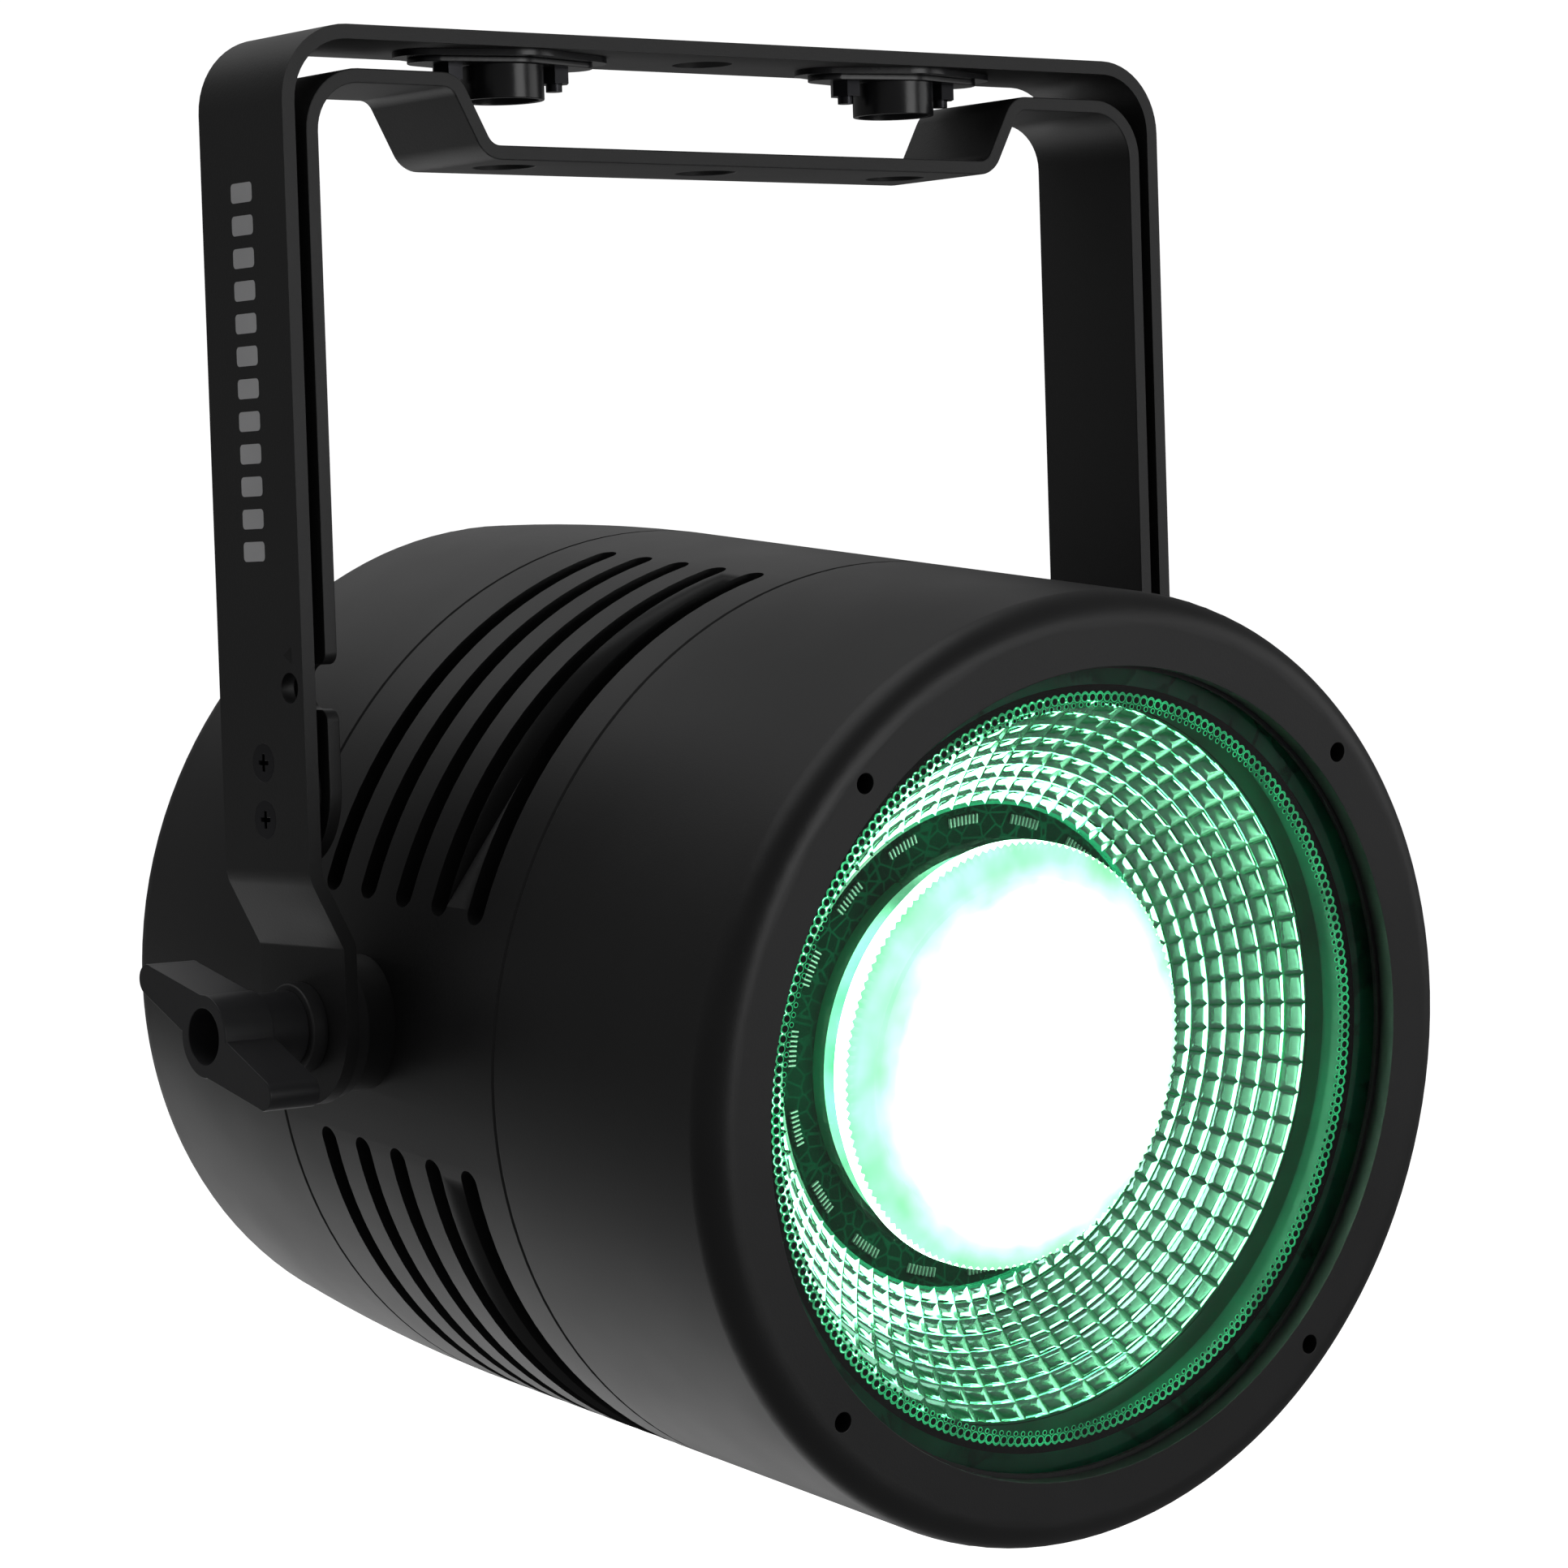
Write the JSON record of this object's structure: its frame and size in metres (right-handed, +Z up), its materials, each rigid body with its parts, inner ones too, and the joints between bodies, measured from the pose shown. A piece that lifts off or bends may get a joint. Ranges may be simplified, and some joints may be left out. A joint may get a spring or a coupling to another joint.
{
  "type": "par light",
  "caption": "Round black stage wash light with a vented body, glass front and faceted reflector, tilting in a double folding yoke with wing knobs and a rear control panel.",
  "frame": {"origin": "centre of the clamp hole on the upper face of the yoke's top bar", "axes": "+Z up, the lamp faces -Y with its nose 6 degrees down, +X to the right seen from the front"},
  "size_m": [0.268, 0.2358, 0.3128],
  "materials": {
    "powder_black": "fine-textured black powder coat",
    "powder_body": "black powder coat on die-cast aluminium",
    "black_steel": "black oxide",
    "zinc_steel": "bright zinc",
    "cam_steel": "black nickel, satin",
    "nylon": "moulded nylon",
    "knob_plastic": "glass-filled nylon, satin",
    "front_glass": "clear, black printed border",
    "gasket_rubber": "matte",
    "reflector_mirror": "faceted mirror",
    "green_board": "green solder mask",
    "emitter_yellow": "phosphor",
    "green_lens": "clear acrylic lit green",
    "sink_aluminium": "satin",
    "supply_case": null,
    "display_glass": "gloss",
    "button_plastic": "moulded",
    "socket_black": "moulded",
    "socket_blue": "moulded",
    "socket_grey": "moulded"
  },
  "bodies": {
    "yoke": {"outer_yoke": "powder_black", "lock_plate_left": "cam_steel", "lock_plate_right": "cam_steel", "lock_cam_left": "cam_steel", "lock_cam_right": "cam_steel", "lock_screws": "black_steel", "lock_nuts": "zinc_steel", "hinge_blocks": "nylon", "hinge_plates": "black_steel", "hinge_screws": "black_steel"},
    "bracket": {"inner_bracket": "powder_black"},
    "lamp": {"baffle_screws": "black_steel", "board_screws": "zinc_steel", "centre_lens": "green_lens", "cob_emitter": "emitter_yellow", "control_board": "green_board", "display_module": "display_glass", "display_window": "display_glass", "dmx_input": "socket_black", "dmx_output": "socket_black", "fan_frame": "knob_plastic", "fan_screws": "zinc_steel", "friction_discs": "nylon", "front_gasket": "gasket_rubber", "front_glass": "front_glass", "front_housing": "powder_body", "fuse_holder": "knob_plastic", "heat_sink": "sink_aluminium", "led_board": "green_board", "lens_baffle": "powder_body", "lens_holder": "nylon", "mounting_plate": "zinc_steel", "panel_screws": "black_steel", "pivot_nuts": "zinc_steel", "power_inlet": "socket_blue", "power_outlet": "socket_grey", "power_supply": "supply_case", "rear_housing": "powder_body", "rear_panel": "powder_body", "reflector": "reflector_mirror", "rod_nuts": "zinc_steel", "safety_eye": "zinc_steel", "socket_screws": "black_steel", "standoffs": "zinc_steel", "tie_rods": "black_steel", "vent_band": "powder_body"},
    "fan": {"fan_rotor": "knob_plastic"},
    "knob_left": {"tilt_knob_left": "knob_plastic", "knob_collar_left": "nylon", "tilt_stud_left": "zinc_steel"},
    "knob_right": {"tilt_knob_right": "knob_plastic", "knob_collar_right": "nylon", "tilt_stud_right": "zinc_steel"},
    "button_menu": {"button_menu": "button_plastic"},
    "button_down": {"button_down": "button_plastic"},
    "button_up": {"button_up": "button_plastic"},
    "button_enter": {"button_enter": "button_plastic"}
  },
  "joints": [
    {"name": "lamp_tilt", "type": "hinge", "parent": "yoke", "child": "lamp", "pos_m": [0, 0, -0.203], "axis": [1, 0, 0], "range_deg": [-96, 84]},
    {"name": "bracket_swing", "type": "hinge", "parent": "yoke", "child": "bracket", "pos_m": [0, 0, -0.1543], "axis": [-1, 0, 0], "range_deg": [0, 60]},
    {"name": "knob_turn_left", "type": "hinge", "parent": "lamp", "child": "knob_left", "pos_m": [-0.12, 0, -0.203], "axis": [-1, 0, 0], "range_deg": [-180, 180]},
    {"name": "knob_turn_right", "type": "hinge", "parent": "lamp", "child": "knob_right", "pos_m": [0.12, 0, -0.203], "axis": [1, 0, 0], "range_deg": [-180, 180]},
    {"name": "fan_spin", "type": "hinge", "parent": "lamp", "child": "fan", "pos_m": [0, 0, -0.203], "axis": [0, 0.9945, 0.1045], "continuous": true},
    {"name": "button_press_menu", "type": "slide", "parent": "lamp", "child": "button_menu", "axis": [0, -0.9945, -0.1045], "range_m": [0, 0.001], "stiffness_N_per_m": 900},
    {"name": "button_press_down", "type": "slide", "parent": "lamp", "child": "button_down", "axis": [0, -0.9945, -0.1045], "range_m": [0, 0.001], "stiffness_N_per_m": 900},
    {"name": "button_press_up", "type": "slide", "parent": "lamp", "child": "button_up", "axis": [0, -0.9945, -0.1045], "range_m": [0, 0.001], "stiffness_N_per_m": 900},
    {"name": "button_press_enter", "type": "slide", "parent": "lamp", "child": "button_enter", "axis": [0, -0.9945, -0.1045], "range_m": [0, 0.001], "stiffness_N_per_m": 900}
  ]
}
